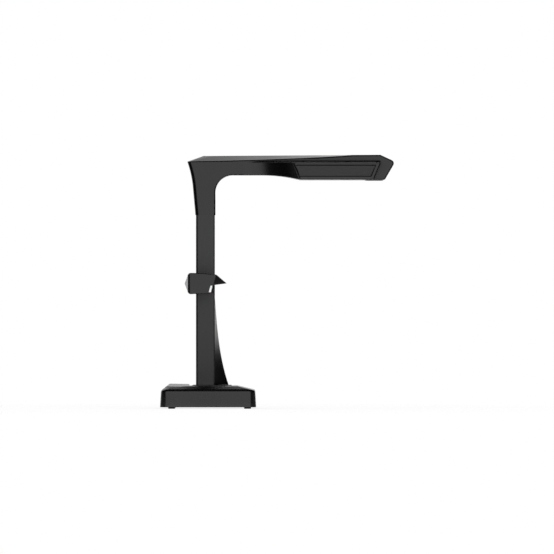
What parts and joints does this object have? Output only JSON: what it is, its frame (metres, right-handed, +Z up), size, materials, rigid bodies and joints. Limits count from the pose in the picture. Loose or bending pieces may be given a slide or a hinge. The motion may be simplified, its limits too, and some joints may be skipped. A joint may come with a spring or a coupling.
{
  "type": "overhead book scanner",
  "caption": "Desk scanner with a weighted base, an upright column, an arm and wide camera head over the desk, and a lamp bar that slides on the column.",
  "frame": {"origin": "on the desk under the centre of the base", "axes": "+Z up along the column, -Y forward along the arm over the desk, +X to the right-hand side of someone who looks along +Y"},
  "size_m": [0.17, 0.344, 0.3737],
  "materials": {
    "housing": "black, satin, moulded",
    "dark_plastic": "black, matt, moulded",
    "panel": "black, with fine diagonal grooves",
    "button": "black, glossy",
    "diffuser": "milky white, smooth",
    "lens": "black tinted, polished",
    "rubber": "black, matt",
    "steel": "zinc plated",
    "screw": "black oxide",
    "aluminium": "extruded, bare",
    "board": "green solder mask",
    "socket": "tinned shells",
    "ribbon": "white, flexible",
    "brass": "turned"
  },
  "bodies": {
    "housing": {"arm_beam": "steel", "arm_shell": "housing", "arm_under_cover": "housing", "ballast_plate": "steel", "base_bottom": "housing", "base_screws": "screw", "base_shell": "housing", "beam_screws": "screw", "camera_board": "board", "camera_window": "lens", "column_bracket": "steel", "column_collar": "housing", "column_core": "steel", "column_prow": "housing", "column_tube": "housing", "computer_port": "socket", "device_port": "socket", "display_module": "board", "display_window": "lens", "foot_front_left": "rubber", "foot_front_right": "rubber", "foot_rear_left": "rubber", "foot_rear_right": "rubber", "head_bottom_cover": "housing", "head_screws": "screw", "heat_sink": "aluminium", "laser_emitters": "brass", "lens_barrel": "dark_plastic", "main_board": "board", "pedal_socket": "socket", "power_socket": "socket", "rear_cover": "housing", "ribbon_cable": "ribbon", "side_bezel_left": "housing", "side_bezel_right": "housing", "side_panel_left": "panel", "side_panel_right": "panel", "socket_board": "board", "socket_panel": "dark_plastic", "switch_frame": "dark_plastic", "wing_left": "housing", "wing_right": "housing", "work_light_board_left": "board", "work_light_board_right": "board", "work_light_diffuser_left": "diffuser", "work_light_diffuser_right": "diffuser"},
    "lamp_bar": {"lamp_back_cover": "housing", "lamp_boards": "board", "lamp_clamp": "steel", "lamp_diffuser_left": "diffuser", "lamp_diffuser_right": "diffuser", "lamp_hood_left": "housing", "lamp_hood_right": "housing", "lamp_pod_left": "housing", "lamp_pod_right": "housing", "lamp_screws": "screw"},
    "power_switch": {"power_rocker": "dark_plastic"},
    "light_key": {"light_button": "button"},
    "scan_key": {"scan_button": "button"},
    "lamp_key": {"lamp_button": "button"}
  },
  "joints": [
    {"name": "lamp_slide", "type": "slide", "parent": "housing", "child": "lamp_bar", "axis": [0, 0, 1], "range_m": [-0.008, 0.08]},
    {"name": "power_switch_tip", "type": "hinge", "parent": "housing", "child": "power_switch", "pos_m": [0.038, 0.0637, 0.0145], "axis": [0, 0, 1], "range_deg": [0, 14]},
    {"name": "light_press", "type": "slide", "parent": "housing", "child": "light_key", "axis": [0, 0.4223, -0.9064], "range_m": [0, 0.0012], "stiffness_N_per_m": 800, "springref_m": -0.0003},
    {"name": "scan_press", "type": "slide", "parent": "housing", "child": "scan_key", "axis": [0, 0.4223, -0.9064], "range_m": [0, 0.0012], "stiffness_N_per_m": 800, "springref_m": -0.0003},
    {"name": "lamp_press", "type": "slide", "parent": "lamp_bar", "child": "lamp_key", "axis": [0, 0, -1], "range_m": [0, 0.0012], "stiffness_N_per_m": 800, "springref_m": -0.0003}
  ]
}
